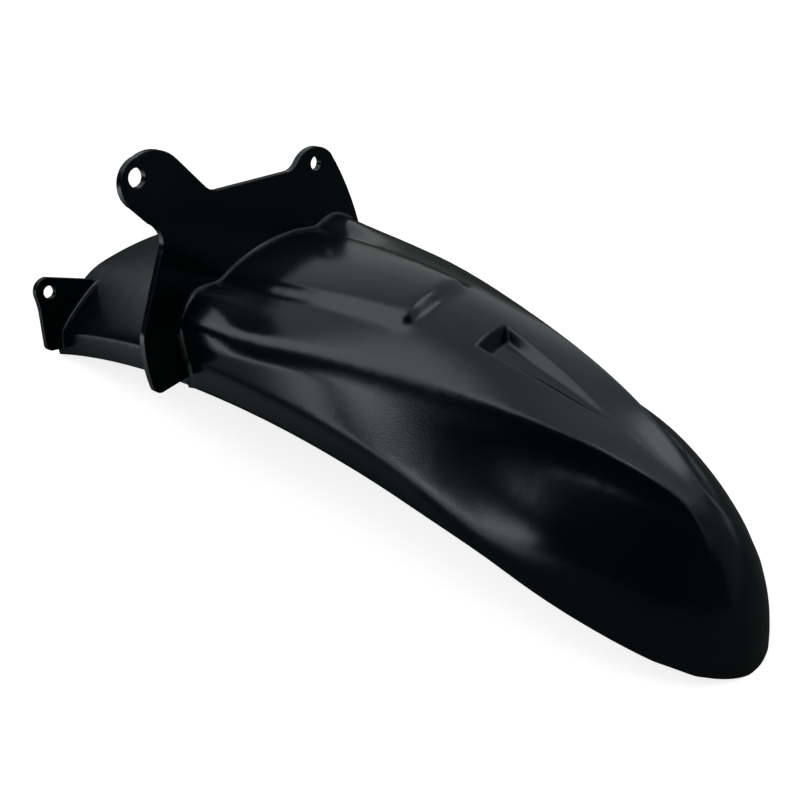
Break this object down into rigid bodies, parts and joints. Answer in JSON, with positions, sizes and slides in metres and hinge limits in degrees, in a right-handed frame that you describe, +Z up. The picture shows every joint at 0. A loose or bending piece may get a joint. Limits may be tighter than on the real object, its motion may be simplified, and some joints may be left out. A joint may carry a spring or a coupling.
{
  "type": "motorcycle rear mudguard",
  "caption": "Arched black plastic rear mudguard with a raised tapering hood, a recessed scoop, a cross plate with bolt lugs and a front ear.",
  "frame": {"origin": "middle of the outer box, on the plane the guard lies on", "axes": "+X to the tail, +Y to the side with the small lug, +Z up"},
  "size_m": [0.4622, 0.171, 0.1672],
  "materials": {
    "black_plastic": "satin, finely grained"
  },
  "bodies": {
    "root": {"mudguard": "black_plastic"}
  },
  "joints": []
}
